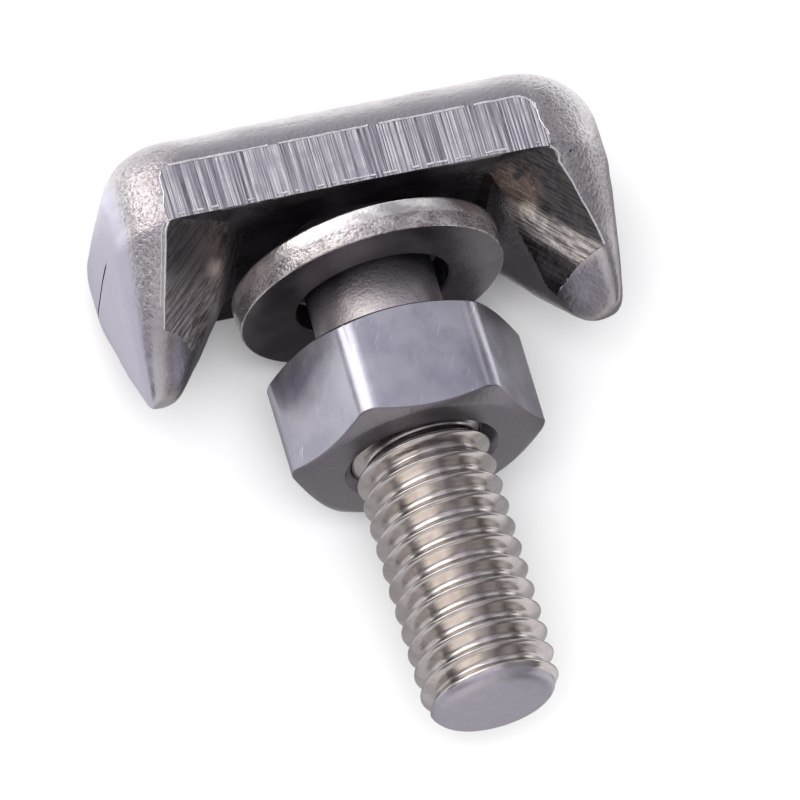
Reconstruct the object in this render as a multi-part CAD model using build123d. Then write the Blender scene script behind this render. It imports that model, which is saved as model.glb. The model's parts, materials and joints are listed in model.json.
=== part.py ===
"""M6 T-slot bolt with its loose flat washer and hex nut, lying on its back side.

The bolt is one casting: a T-head with two pointed prongs, a plain neck and a threaded stud.
Each piece is modelled on the bolt's own axes and laid down at the end:
X runs along the T-head, Y towards its ground front side and Z along the stud from the
underside of the head to the stud's end. Lengths are in millimetres, angles in degrees.
"""

import os
from math import cos, radians, sin, tan

from build123d import *

# T-head, as cast
head_length = 21.9
head_width = 11.4
head_height = 4.45
front_corner_round = 3.4  # upright corners in plan
back_corner_round = 2.8
head_top_round = 2.75  # edge all round the top of the head
head_front_round = 3.3  # the same edge along the front
ground_face_reach = 5.45  # flat ground on the front side, measured from the stud's axis

# Prongs
prong_drop = 5.95  # from the underside of the head to the ridge of the prong
prong_blunting = 0.38  # from the ridge to where the prong's sides would meet
prong_root = 5.3  # from the stud's axis to the inner face, at the underside
prong_ridge_round = 0.8
left_inner_slope = 34.0  # inner face, leaning outwards from the stud's axis
left_end_lean = 2.0  # outer end, leaning inwards
left_inner_nose = 0.82  # share of the ridge's length that its inner corner's round takes
left_outer_nose = 0.14
right_inner_slope = 28.5
right_end_lean = 5.5
right_inner_nose = 0.13
right_outer_nose = 0.83

# Flat ground on the front inner corner of each prong
relief_turn = 38.4  # its level lines, turned from the head's length towards the front
relief_lean = 42.4  # the flat, leaning away from the stud's axis
relief_reach = 1.05  # from the stud's axis to the flat, at the underside
relief_stop = 3.9  # the lower end of the flat, below the underside

# Stud
neck_diameter = 5.64
neck_length = 5.2
neck_fillet = 0.4
thread_diameter = 5.92
stud_length = 22.45  # from the underside of the head
stud_end_chamfer = 0.38

# Washer
washer_diameter = 11.7
washer_hole = 6.7
washer_thickness = 1.42
washer_edge_bevel = 0.18
washer_seat = 1.3  # from the underside of the head to the washer, on the stud's axis
washer_tilt = 2.2

# Nut
nut_across_flats = 9.9
nut_height = 5.0
nut_corner_angle = 0.0  # direction of one corner, from the head's length
nut_chamfer_angle = 30.0
nut_face_diameter = 9.5
nut_seat = 5.6  # from the underside of the head to the nut
nut_thread_clearance = 0.07  # on the radius
nut_countersink = 0.35

hair = 0.03  # how far a trimming outline stands off the faces that it doesn't trim
half_length = head_length / 2
half_width = head_width / 2
stud_radius = thread_diameter / 2
prong_point = prong_drop + prong_blunting
prong_thickness = half_length - prong_root
fullness = 0.97  # how much of the space beside the outer corners' rounds the inner ones take


def corner_at(outline, x, y):
    """The corner of a flat outline that lies nearest to a place."""
    return outline.vertices().sort_by_distance((x, y))[0]


def block_outline(from_x, to_x, width, rounds, level):
    """A rectangle in plan between two X values, with its four corners rounded.

    The rounds go front near, front far, back near and back far, where near is at from_x.
    """
    outline = Pos((from_x + to_x) / 2, 0) * Rectangle(to_x - from_x, width)
    front = width / 2
    places = ((from_x, front), (to_x, front), (from_x, -front), (to_x, -front))
    for (x, y), corner_round in zip(places, rounds):
        outline = fillet(corner_at(outline, x, y), corner_round)
    return Pos(0, 0, level) * outline


def head_bar():
    """The bar of the T, with its top edge rounded all the way round."""
    rounds = (front_corner_round, front_corner_round, back_corner_round, back_corner_round)
    bar = extrude(block_outline(-half_length, half_length, head_width, rounds, -head_height), head_height)
    top_edges = bar.faces().sort_by(Axis.Z)[0].edges()
    bar = fillet(top_edges, head_top_round)
    end_view = Pos(0, -head_height / 2) * Rectangle(head_width, head_height)
    end_view = fillet(corner_at(end_view, half_width, -head_height), head_front_round)
    return bar & extrude(Plane.YZ * end_view, half_length, both=True)


def prong_section(drop, inner_slope, end_lean):
    """The prong's section at a distance below the underside: its sides close in towards the point."""
    inner = prong_root + drop * tan(radians(inner_slope))
    outer = half_length - drop * tan(radians(end_lean))
    share_left = 1 - drop / prong_point
    inner_front_round = fullness * (prong_thickness - front_corner_round)
    inner_back_round = fullness * (prong_thickness - back_corner_round)
    rounds = (inner_front_round, front_corner_round, inner_back_round, back_corner_round)
    scaled_rounds = [share_left * corner_round for corner_round in rounds]
    return block_outline(inner, outer, head_width * share_left, scaled_rounds, drop)


def prong(inner_slope, end_lean, inner_nose, outer_nose):
    """A prong at +X, tapering from the head to a blunt rounded ridge."""
    root = prong_section(0, inner_slope, end_lean)
    ridge = prong_section(prong_drop, inner_slope, end_lean)
    body = loft([root, ridge], ruled=True)
    ridge_from = prong_root + prong_drop * tan(radians(inner_slope))
    ridge_to = half_length - prong_drop * tan(radians(end_lean))
    front_view = make_face(
        Polyline(
            (prong_root - hair, 0),
            (half_length + hair, 0),
            (ridge_to + hair, prong_drop),
            (ridge_from - hair, prong_drop),
            (prong_root - hair, 0),
        )
    )
    ridge_length = ridge_to - ridge_from
    inner_round = inner_nose * ridge_length / tan(radians(90 - inner_slope) / 2)
    outer_round = outer_nose * ridge_length / tan(radians(90 + end_lean) / 2)
    front_view = fillet(corner_at(front_view, ridge_from, prong_drop), inner_round)
    front_view = fillet(corner_at(front_view, ridge_to, prong_drop), outer_round)
    return body & extrude(Plane.XZ * front_view, head_width, both=True) & rounded_from_the_end()


def rounded_from_the_end():
    """The prongs' outline seen along the head, a hair outside their sides, with its point rounded."""
    outline = make_face(
        Polyline(
            (-half_width - hair, 0),
            (half_width + hair, 0),
            (0, prong_point + hair),
            (-half_width - hair, 0),
        )
    )
    outline = fillet(outline.vertices().sort_by(Axis.Y)[-1], prong_ridge_round)
    return extrude(Plane.YZ * outline, head_length)


def ground_relief():
    """What the wheel takes off the front inner corner of the prong at +X."""
    across = Vector(sin(radians(relief_turn)), -cos(radians(relief_turn)), 0)
    along = Vector(cos(radians(relief_turn)), sin(radians(relief_turn)), 0)
    outward = across * -cos(radians(relief_lean)) + Vector(0, 0, sin(radians(relief_lean)))
    start = across * relief_reach
    flat = Plane(origin=start, x_dir=along, z_dir=outward)
    size = 2 * head_length
    cutter = flat * Pos(0, 0, size / 2) * Box(size, size, size)
    below = Pos(0, 0, relief_stop - size / 2) * Box(2 * size, 2 * size, size)
    return cutter & below


def t_bolt():
    """The casting: head, prongs, neck and stud, with its ground front side."""
    left = prong(left_inner_slope, left_end_lean, left_inner_nose, left_outer_nose) - ground_relief()
    right = prong(right_inner_slope, right_end_lean, right_inner_nose, right_outer_nose) - ground_relief()
    reach = 2 * head_length
    ground_off = Pos(0, ground_face_reach + reach / 2, 0) * Box(reach, reach, reach)
    body = head_bar() + right + mirror(left, Plane.YZ) - ground_off
    return body + neck() + thread()


def neck():
    """The plain neck, flared where it meets the head."""
    radius = neck_diameter / 2
    profile = Polyline(
        (0, 0),
        (radius + neck_fillet, 0),
        (radius, neck_fillet),
        (radius, neck_length),
        (0, neck_length),
        (0, 0),
    )
    return revolve(Plane.XZ * make_face(profile), Axis.Z)


def thread():
    """The threaded length as a plain shank of the thread's outer size, with its bevelled end."""
    shank = Cylinder(stud_radius, stud_length - neck_length, align=(Align.CENTER, Align.CENTER, Align.MIN))
    return Pos(0, 0, neck_length) * chamfer(shank.edges().sort_by(Axis.Z)[-1], stud_end_chamfer)


def flat_washer():
    """The loose washer, leaning a little against the root of one prong."""
    ring = Circle(washer_diameter / 2) - Circle(washer_hole / 2)
    washer = extrude(ring, washer_thickness)
    washer = chamfer(washer.edges().group_by(Axis.Z)[-1], washer_edge_bevel)
    middle = washer_thickness / 2
    return Pos(0, 0, washer_seat + middle) * Rot(0, washer_tilt, 0) * Pos(0, 0, -middle) * washer


def hex_nut():
    """The nut, bevelled on both faces, with a plain bore that clears the thread."""
    blank = extrude(RegularPolygon(nut_across_flats / 2, 6, major_radius=False), nut_height)
    corner = nut_across_flats / 2 / cos(radians(30))
    fall = (corner - nut_face_diameter / 2) * tan(radians(nut_chamfer_angle))
    profile = Polyline(
        (0, 0),
        (nut_face_diameter / 2, 0),
        (corner, fall),
        (corner, nut_height - fall),
        (nut_face_diameter / 2, nut_height),
        (0, nut_height),
        (0, 0),
    )
    bevelled = blank & revolve(Plane.XZ * make_face(profile), Axis.Z)
    bore = stud_radius + nut_thread_clearance
    nut = bevelled - Cylinder(bore, 3 * nut_height)
    circles = nut.edges().filter_by(GeomType.CIRCLE)
    mouths = circles.filter_by(lambda circle: circle.radius < nut_face_diameter / 2 - nut_countersink)
    nut = chamfer(mouths, nut_countersink)
    return Pos(0, 0, nut_seat) * Rot(0, 0, nut_corner_angle) * nut


def lay_down(piece):
    """Turn the stud to -Y and the front side up, and stand the lowest point on Z = 0."""
    lowest = max(half_width, washer_diameter / 2)
    middle = (stud_length - head_height) / 2
    return Pos(0, middle, lowest) * Rot(90, 0, 0) * piece


def main():
    os.makedirs("parts", exist_ok=True)
    pieces = {"t_bolt": t_bolt(), "flat_washer": flat_washer(), "hex_nut": hex_nut()}
    for name, piece in pieces.items():
        export_step(lay_down(piece), f"parts/{name}.step")


if __name__ == "__main__":
    main()
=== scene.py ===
"""Dresses the laid-down M6 T-slot bolt: its cast head, stud, washer and nut, their steels and the studio."""

import json
import math
import random
from functools import partial

import bmesh
import bpy
from mathutils import Matrix, Vector, noise


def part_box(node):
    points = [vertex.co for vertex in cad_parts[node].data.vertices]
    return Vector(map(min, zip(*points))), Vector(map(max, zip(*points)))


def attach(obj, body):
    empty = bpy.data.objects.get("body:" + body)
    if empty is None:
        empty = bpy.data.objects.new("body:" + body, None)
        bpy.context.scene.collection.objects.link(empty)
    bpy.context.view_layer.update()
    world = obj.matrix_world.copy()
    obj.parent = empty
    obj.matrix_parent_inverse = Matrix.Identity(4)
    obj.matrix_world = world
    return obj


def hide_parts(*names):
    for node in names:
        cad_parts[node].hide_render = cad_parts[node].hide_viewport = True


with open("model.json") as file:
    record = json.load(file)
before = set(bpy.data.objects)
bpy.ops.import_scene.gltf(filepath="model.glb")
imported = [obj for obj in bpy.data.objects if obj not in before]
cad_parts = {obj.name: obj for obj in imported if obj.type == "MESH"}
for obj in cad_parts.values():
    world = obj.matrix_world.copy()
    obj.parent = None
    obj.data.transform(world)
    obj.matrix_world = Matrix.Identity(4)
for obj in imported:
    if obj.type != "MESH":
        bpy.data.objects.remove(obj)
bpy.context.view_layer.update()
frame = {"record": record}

bl_info = {
    "name": "T-slot Bolt",
    "version": (1, 0, 0),
    "blender": (4, 5, 0),
    "location": "View3D > Sidebar > T-slot Bolt",
    "description": "Models the head, stud, washer and nut of a T-slot bolt and its studio",
    "category": "Add Mesh",
}

MM = 0.001
MOUNTS = {mount["name"]: Vector(mount["pos_m"]) for mount in frame["record"]["mounts"]}
UNDERSIDE = MOUNTS["head_underside"]
STUD_END = MOUNTS["thread_end"]
HEAD_TOP = MOUNTS["head_top"]


# ---------------------------------------------------------------- places and meshes


def place(x, y, z):
    """A place on the bolt's own axes: x along the head, y to its ground front side, z down the stud."""
    return Vector((x, UNDERSIDE.y - z, UNDERSIDE.z + y))


def box_size(node):
    """A CAD node's size along the frame's X, Y and Z."""
    low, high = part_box(node)
    return high - low


def quarter(steps):
    """The sines and cosines of even steps through a quarter turn."""
    angles = [math.pi / 2 * step / steps for step in range(steps + 1)]
    return [(math.sin(angle), math.cos(angle)) for angle in angles]


def select_none():
    """Leaves nothing selected, in object mode."""
    if bpy.context.mode != "OBJECT":
        bpy.ops.object.mode_set(mode="OBJECT")
    bpy.ops.object.select_all(action="DESELECT")


def select_only(piece):
    """Leaves one piece selected and active, in object mode."""
    select_none()
    piece.select_set(True)
    bpy.context.view_layer.objects.active = piece


def skin(name, rings, closed_ends=True):
    """A mesh over rings of the same number of points, closed by its ends or else back to its first ring."""
    shell = bmesh.new()
    loops = [[shell.verts.new(point) for point in ring] for ring in rings]
    pairs = list(zip(loops, loops[1:]))
    if not closed_ends:
        pairs.append((loops[-1], loops[0]))
    for near, far in pairs:
        for i in range(len(near)):
            j = (i + 1) % len(near)
            shell.faces.new((near[i], near[j], far[j], far[i]))
    if closed_ends:
        shell.faces.new(loops[0])
        shell.faces.new(loops[-1])
    bmesh.ops.remove_doubles(shell, verts=shell.verts, dist=1e-7)
    bmesh.ops.recalc_face_normals(shell, faces=shell.faces)
    mesh = bpy.data.meshes.new(name)
    shell.to_mesh(mesh)
    shell.free()
    piece = bpy.data.objects.new(name, mesh)
    bpy.context.collection.objects.link(piece)
    return piece


def apply_modifier(piece, kind, **settings):
    """Adds one modifier, applies it and leaves the piece selected."""
    select_only(piece)
    modifier = piece.modifiers.new(kind.title(), kind)
    for key, value in settings.items():
        setattr(modifier, key, value)
    bpy.ops.object.modifier_apply(modifier=modifier.name)


def cut_with(piece, cutter, operation="DIFFERENCE", solver="MANIFOLD"):
    """Cuts a piece with another, which is then removed."""
    apply_modifier(piece, "BOOLEAN", object=cutter, operation=operation, solver=solver)
    if not piece.data.polygons:
        raise RuntimeError("cutting " + piece.name + " with " + cutter.name + " left nothing")
    bpy.data.objects.remove(cutter, do_unlink=True)


def block(name, low, high):
    """A plain block between two corners, as a cutter."""
    select_none()
    bpy.ops.mesh.primitive_cube_add(size=1, location=(low + high) / 2)
    cutter = bpy.context.object
    cutter.name = name
    cutter.scale = high - low
    bpy.ops.object.transform_apply(location=True, rotation=True, scale=True)
    return cutter


def join(pieces, name):
    """Joins pieces into the first one."""
    select_only(pieces[0])
    for piece in pieces:
        piece.select_set(True)
    bpy.ops.object.join()
    pieces[0].name = name
    return pieces[0]


def smooth(piece, degrees):
    """Shades a piece smooth, with the edges sharper than an angle left crisp."""
    select_only(piece)
    bpy.ops.object.shade_smooth_by_angle(angle=math.radians(degrees))


def everywhere(centre, normal):
    """Picks every face."""
    return True


def paint(piece, chooser, material):
    """Gives a material to the faces that a test on their centre and normal picks."""
    piece.data.materials.append(material)
    index = len(piece.data.materials) - 1
    for face in piece.data.polygons:
        if chooser(face.center, face.normal):
            face.material_index = index


def crisp_between_finishes(piece):
    """Keeps the edges crisp where two finishes meet, however flat the angle between them."""
    mesh = piece.data
    finishes = {}
    for face in mesh.polygons:
        for key in face.edge_keys:
            finishes.setdefault(key, set()).add(face.material_index)
    for edge in mesh.edges:
        if len(finishes.get(edge.key, ())) > 1:
            edge.use_edge_sharp = True


def finish_piece(piece, body):
    """Names what a finished piece rides on."""
    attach(piece, body)


# ---------------------------------------------------------------- materials


def colour(hex_value):
    """An sRGB hex colour as linear RGBA."""
    parts = [int(hex_value[i : i + 2], 16) / 255 for i in (1, 3, 5)]
    linear = [part / 12.92 if part <= 0.04045 else ((part + 0.055) / 1.055) ** 2.4 for part in parts]
    return (*linear, 1.0)


def fill(socket, value):
    """Gives a socket a value, an sRGB hex colour or what another node puts out; None leaves it as it is."""
    if isinstance(value, bpy.types.Node):
        value = next(output for output in value.outputs if output.enabled)
    if isinstance(value, bpy.types.NodeSocket):
        socket.id_data.links.new(value, socket)
    elif value is not None:
        socket.default_value = colour(value) if isinstance(value, str) else value


def add_node(tree, kind, *values, **settings):
    """Adds a node with its own settings. The values go to its open sockets, in their order."""
    made = tree.nodes.new("ShaderNode" + kind)
    for key, value in settings.items():
        setattr(made, key, value)
    for socket, value in zip([socket for socket in made.inputs if socket.enabled], values):
        fill(socket, value)
    return made


# Settings that many nodes share
EASED = {"interpolation_type": "SMOOTHSTEP"}
COLOURS = {"data_type": "RGBA"}
TIMES = {"operation": "MULTIPLY"}


def new_material(name, shader_kind="BsdfPrincipled"):
    """An empty node material, what adds a node to it, its shader and its object coordinates."""
    material = bpy.data.materials.new(name)
    material.use_nodes = True
    material.node_tree.nodes.clear()
    add = partial(add_node, material.node_tree)
    shader = add(shader_kind)
    add("OutputMaterial", shader)
    return material, add, shader, add("TexCoord").outputs["Object"]


def grain(add, place_of, size, detail=2.0, roughness=0.5, turn=None, shift=None):
    """A noise whose grains have a size in millimetres along X, Y and Z, from about 0.3 to 0.7."""
    turned = add("Mapping", place_of, shift, turn)
    scaled = add("Mapping", turned, None, None, [1 / (extent * MM) for extent in size])
    return add("TexNoise", scaled, 1.0, detail, roughness)


def as_steel(material, shader, body, roughness, normal):
    """Finishes a steel from its colour, its roughness and its surface."""
    looks = {"Base Color": body, "Metallic": 1.0, "Roughness": roughness, "Normal": normal}
    for name, value in looks.items():
        fill(shader.inputs[name], value)
    return material


def cast_steel():
    """Investment-cast stainless steel, tumbled: satin grey, whose fine grain sparkles in the light."""
    material, add, shader, place_of = new_material("cast stainless steel, tumbled")
    fine = grain(add, place_of, (0.16, 0.16, 0.16), roughness=0.55)
    coarse = grain(add, place_of, (0.42, 0.42, 0.42), detail=3.0)
    broad = grain(add, place_of, (2.5, 2.5, 2.5))
    x, y, z = add("SeparateXYZ", place_of).outputs
    # the left end and the prongs' tips are calmer than the rest, and the left end is painted paler and bluer as
    # light from the lamp on the left
    lit_left_end = add("MapRange", x, -10.1 * MM, -10.7 * MM, **EASED)
    tips = add("MapRange", y, UNDERSIDE.y - 1.8 * MM, UNDERSIDE.y - 3.8 * MM, **EASED)
    calm_end, calm_tips = add("Math", lit_left_end, 0.93, **TIMES), add("Math", tips, 0.7, **TIMES)
    calm = add("Math", calm_end, calm_tips, operation="MAXIMUM")
    rough_share = add("Math", 1.0, calm, operation="SUBTRACT")
    tones = bpy.context.scene.steel_colours
    clouds = add("MapRange", broad, 0.35, 0.65, **EASED)
    body = add("Mix", clouds, tones.cast_dull, tones.cast_bright, **COLOURS)
    off_middle = add("Math", x, operation="ABSOLUTE")
    # the strip just above the ground face is smoother, and painted darker as shade
    shaded_strip = add("MapRange", y, UNDERSIDE.y + 4.1 * MM, UNDERSIDE.y + 2.7 * MM, **EASED)
    shaded_strip = add("Math", shaded_strip, add("MapRange", off_middle, 8.6 * MM, 7.0 * MM, **EASED), **TIMES)
    shaded_strip = add("Math", shaded_strip, add("MapRange", z, 8.2 * MM, 9.6 * MM, **EASED), **TIMES)
    rough_share = add("Math", rough_share, add("MapRange", shaded_strip, 0.0, 1.0, 1.0, 0.35, **EASED), **TIMES)
    # painted shade over the strip above the ground face
    body = add("Mix", shaded_strip, body, "#a09ca1", **COLOURS)
    # dirt that tumbling leaves in the skin's hollows, mostly at the ends
    hollow = add("Math", add("MapRange", fine, 0.5, 0.34, **EASED), rough_share, **TIMES)
    at_ends = add("MapRange", off_middle, 6.2 * MM, 8.2 * MM, 0.2, 1.0, **EASED)
    hollow = add("Math", add("Math", hollow, at_ends, **TIMES), 0.6, **TIMES)
    speckled = add("Mix", hollow, body, "#8b8689", **COLOURS)
    # painted light: the left end paler and bluer than the rest
    tinted = add("Mix", lit_left_end, speckled, "#c3c0cf", **COLOURS)
    bumped = add("Bump", 1.0, 0.06 * MM, None, add("Math", fine, rough_share, **TIMES))
    bumped = add("Bump", 1.0, 0.05 * MM, None, add("Math", coarse, rough_share, **TIMES), bumped)
    return as_steel(material, shader, tinted, add("MapRange", coarse, 0.3, 0.7, 0.29, 0.38, **EASED), bumped)


def ground_steel():
    """The front face, ground on a belt: fine scratches along the bolt, bright and dark side by side."""
    material, add, shader, place_of = new_material("stainless steel, belt-ground")
    # drawn coarser than the belt's grit, so that the scratches show
    lines = grain(add, place_of, (0.065, 7.0, 1.0), roughness=0.6)
    wide_lines = grain(add, place_of, (0.17, 5.0, 1.0), roughness=0.6, shift=(0.004, 0.003, 0))
    patches = grain(add, place_of, (1.2, 0.8, 1.0), shift=(0.001, 0.007, 0))
    shade = add("MapRange", lines, 0.36, 0.64, **EASED)
    low = add("Mix", shade, "#706c74", "#dcdade", **COLOURS)
    high = add("Mix", shade, "#97949c", "#ebeaed", **COLOURS)
    both = add("Mix", add("MapRange", wide_lines, 0.36, 0.64, **EASED), low, high, **COLOURS)
    scuffs = add("Math", add("MapRange", patches, 0.45, 0.65, **EASED), 0.45, **TIMES)
    scuffed = add("Mix", scuffs, both, "#aaa7b2", **COLOURS)
    bumped = add("Bump", 1.0, 0.02 * MM, None, lines)
    bumped = add("Bump", 1.0, 0.028 * MM, None, wide_lines, bumped)
    rough = add("MapRange", wide_lines, 0.3, 0.7, 0.36, 0.26, **EASED)
    return as_steel(material, shader, scuffed, rough, bumped)


def relief_steel(side, sign):
    """The slopes ground inside the prongs by hand: coarse streaks, browned by heat at the root, in tones of
    painted shade, with a painted highlight band and spot.
    """
    material, add, shader, place_of = new_material("stainless steel, hand-ground, heat-tinted " + side)
    right = side == "right"
    strength = 1.0 if right else 0.5
    run = Vector((sign * 0.74, -0.62, -0.22)).normalized()
    turn = run.rotation_difference(Vector((1, 0, 0))).to_euler()
    streaks = grain(add, place_of, (3.4, 0.1, 0.1), detail=3.0, roughness=0.6, turn=turn)
    blotches = grain(add, place_of, (0.9, 0.9, 0.9), detail=3.0)
    spots = grain(add, place_of, (0.16, 0.16, 0.16))
    highlight_spot = place(sign * 6.9 * MM, 2.8 * MM, 1.4 * MM)
    brown_spot = place(sign * 6.4 * MM, 3.5 * MM, 0.7 * MM)
    # a painted highlight band: along the right slope below the highlight spot, over the lower part of the left
    # one
    from_spot = add("VectorMath", place_of, highlight_spot, operation="SUBTRACT")
    off_run = add("VectorMath", from_spot, Vector((sign * -0.503, -0.3125, -0.806)), operation="DOT_PRODUCT")
    down = add("Math", add("SeparateXYZ", from_spot).outputs[1], -1.0, **TIMES)
    if right:
        highlight_band = add("MapRange", off_run, -0.4 * MM, 0.1 * MM, **EASED)
        highlight_band = add("Math", highlight_band, add("MapRange", off_run, 1.3 * MM, 0.8 * MM, **EASED), **TIMES)
        highlight_band = add("Math", highlight_band, add("MapRange", down, -0.6 * MM, 0.2 * MM, **EASED), **TIMES)
    else:
        highlight_band = add("Math", add("MapRange", down, -0.4 * MM, 1.8 * MM, **EASED), 0.8, **TIMES)
    # painted shade: the slopes' dark tones, darker on the right slope than on the left
    shade_low, shade_high = ("#4a4547", "#666163") if right else ("#5f5a5b", "#7d7778")
    dull = add("Mix", add("MapRange", streaks, 0.34, 0.66, **EASED), shade_low, shade_high, **COLOURS)
    bright = add("Mix", add("MapRange", streaks, 0.36, 0.6, **EASED), "#8f8887", "#efe9e4", **COLOURS)
    steel = add("Mix", highlight_band, dull, bright, **COLOURS)
    away = add("VectorMath", place_of, brown_spot, operation="DISTANCE")
    browned = add("Math", add("MapRange", away, 1.6 * MM, 0.5 * MM, **EASED), strength, **TIMES)
    browned = add("Math", browned, add("MapRange", blotches, 0.36, 0.55, **EASED), **TIMES)
    tinted = add("Mix", browned, steel, "#8a7b73", **COLOURS)
    dots = add("Math", browned, add("MapRange", spots, 0.6, 0.7, **EASED), **TIMES)
    tinted = add("Mix", dots, tinted, "#a08d7c", **COLOURS)
    # a painted highlight spot, pale cream, near the root
    near = add("VectorMath", place_of, highlight_spot, operation="DISTANCE")
    spot_highlight = add("Math", add("MapRange", near, 0.7 * MM, 0.1 * MM, **EASED), strength, **TIMES)
    bumped = add("Bump", 1.0, 0.03 * MM, None, streaks)
    bumped = add("Bump", 1.0, 0.16 * MM, None, blotches, bumped)
    return as_steel(material, shader, add("Mix", spot_highlight, tinted, "#fff2e4", **COLOURS), 0.42, bumped)


def painted_shade_cast_steel():
    """Painted shade for the recess under the head and the seam's inside: cast steel painted nearly black, dull.
    """
    material, add, shader, place_of = new_material("cast stainless steel with scale")
    fine = grain(add, place_of, (0.2, 0.2, 0.2), detail=3.0)
    broad = grain(add, place_of, (1.6, 1.6, 1.6))
    dark = add("Mix", add("MapRange", broad, 0.35, 0.7, **EASED), "#4a444a", "#767076", **COLOURS)
    return as_steel(material, shader, dark, 0.5, add("Bump", 1.0, 0.05 * MM, None, fine))


def burr_steel():
    """The feathered burr that grinding leaves: thin raw edge metal that catches the light."""
    material, add, shader, place_of = new_material("stainless steel, grinding burr")
    fine = grain(add, place_of, (0.15, 0.15, 0.15))
    return as_steel(material, shader, "#f2eff2", 0.4, add("Bump", 1.0, 0.03 * MM, None, fine))


def neck_steel():
    """The plain neck as cast and blasted: matt, with fine sparkle, and painted shade that darkens it under the
    washer and towards the head.
    """
    material, add, shader, place_of = new_material("cast stainless steel, blasted")
    fine = grain(add, place_of, (0.13, 0.13, 0.13))
    broad = grain(add, place_of, (1.3, 1.3, 1.3))
    level = add("SeparateXYZ", place_of).outputs[1]
    tones = bpy.context.scene.steel_colours
    clouds = add("MapRange", broad, 0.35, 0.65, **EASED)
    body = add("Mix", clouds, tones.neck_dull, tones.neck_bright, **COLOURS)
    # painted shade: darker under the washer and towards the head
    scaled = add("MapRange", level, UNDERSIDE.y - 4.6 * MM, UNDERSIDE.y - 3.0 * MM, **EASED)
    body = add("Mix", scaled, body, "#8a8489", **COLOURS)
    bumped = add("Bump", 1.0, 0.022 * MM, None, fine)
    bumped = add("Bump", 1.0, 0.05 * MM, None, broad, bumped)
    return as_steel(material, shader, body, add("MapRange", broad, 0.3, 0.7, 0.42, 0.52, **EASED), bumped)


def thread_steel():
    """The rolled thread: bright, slightly warm steel, with drawn lines round the crests and dull patches."""
    material, add, shader, place_of = new_material("stainless steel, rolled thread")
    marks = grain(add, place_of, (2.2, 0.08, 2.2), detail=3.0, roughness=0.6)
    blotches = grain(add, place_of, (0.7, 0.7, 0.7))
    tones = bpy.context.scene.steel_colours
    dull_patches = add("MapRange", blotches, 0.35, 0.65, **EASED)
    body = add("Mix", dull_patches, tones.thread_dull, tones.thread_bright, **COLOURS)
    bumped = add("Bump", 1.0, 0.008 * MM, None, marks)
    return as_steel(material, shader, body, add("MapRange", blotches, 0.3, 0.7, 0.15, 0.24, **EASED), bumped)


def end_steel():
    """The stud's cropped end: flat, satin, faintly lilac."""
    material, add, shader, place_of = new_material("stainless steel, faced end")
    fine = grain(add, place_of, (0.4, 0.4, 0.4), detail=3.0)
    body = add("Mix", fine, "#b2adb7", "#c6c1ca", **COLOURS)
    return as_steel(material, shader, body, 0.42, add("Bump", 1.0, 0.01 * MM, None, fine))


def washer_steel():
    """The washer's faces as rolled sheet: satin, with light scratches, in mid grey tones darker than the other
    steels as painted shade.
    """
    material, add, shader, place_of = new_material("stainless sheet, stamped")
    fine = grain(add, place_of, (0.12, 0.12, 0.12))
    cloud = grain(add, place_of, (1.8, 1.8, 1.8), detail=3.0)
    tones = bpy.context.scene.steel_colours
    clouds = add("MapRange", cloud, 0.3, 0.7, **EASED)
    # painted shade: the faces' tones are darker than the other steels
    body = add("Mix", clouds, tones.washer_dull, tones.washer_bright, **COLOURS)
    bumped = add("Bump", 1.0, 0.01 * MM, None, fine)
    return as_steel(material, shader, body, add("MapRange", cloud, 0.3, 0.7, 0.28, 0.4, **EASED), bumped)


def burnished_rim_steel():
    """The upper band of the washer's blanked edge, burnished by the die: bright, with light marks."""
    material, add, shader, place_of = new_material("stainless sheet, burnished edge")
    marks = grain(add, place_of, (0.9, 0.5, 0.9), detail=3.0, roughness=0.6)
    fine = grain(add, place_of, (0.16, 0.16, 0.16))
    body = add("Mix", add("MapRange", marks, 0.38, 0.62, **EASED), "#d9d4d4", "#faf7f5", **COLOURS)
    bumped = add("Bump", 1.0, 0.05 * MM, None, marks)
    return as_steel(material, shader, body, 0.3, add("Bump", 1.0, 0.015 * MM, None, fine, bumped))


def torn_rim_steel():
    """The lower band of the washer's blanked edge, where the sheet tore: grainy and duller."""
    material, add, shader, place_of = new_material("stainless sheet, torn edge")
    fine = grain(add, place_of, (0.16, 0.12, 0.16))
    cloud = grain(add, place_of, (1.0, 0.6, 1.0))
    body = add("Mix", add("MapRange", cloud, 0.35, 0.65, **EASED), "#b4aeaf", "#e4dfdf", **COLOURS)
    dark = add("Math", add("MapRange", fine, 0.5, 0.36, **EASED), 0.6, **TIMES)
    body = add("Mix", dark, body, "#7a7475", **COLOURS)
    return as_steel(material, shader, body, 0.38, add("Bump", 1.0, 0.05 * MM, None, fine))


def nut_steel():
    """The cold-formed nut: smooth, faintly blue, with hairline scratches and a slightly uneven skin."""
    material, add, shader, place_of = new_material("stainless steel, cold-formed")
    hairs = grain(add, place_of, (0.1, 1.2, 0.9), detail=3.0, roughness=0.6, turn=(0.2, 0.3, 0.5))
    cloud = grain(add, place_of, (1.5, 1.5, 1.5))
    tones = bpy.context.scene.steel_colours
    clouds = add("MapRange", cloud, 0.3, 0.7, **EASED)
    body = add("Mix", clouds, tones.nut_dull, tones.nut_bright, **COLOURS)
    body = add("Mix", add("MapRange", hairs, 0.62, 0.75, **EASED), body, "#d6d5dc", **COLOURS)
    bumped = add("Bump", 1.0, 0.03 * MM, None, cloud)
    return as_steel(material, shader, body, add("MapRange", cloud, 0.3, 0.7, 0.25, 0.33, **EASED), bumped)


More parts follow.
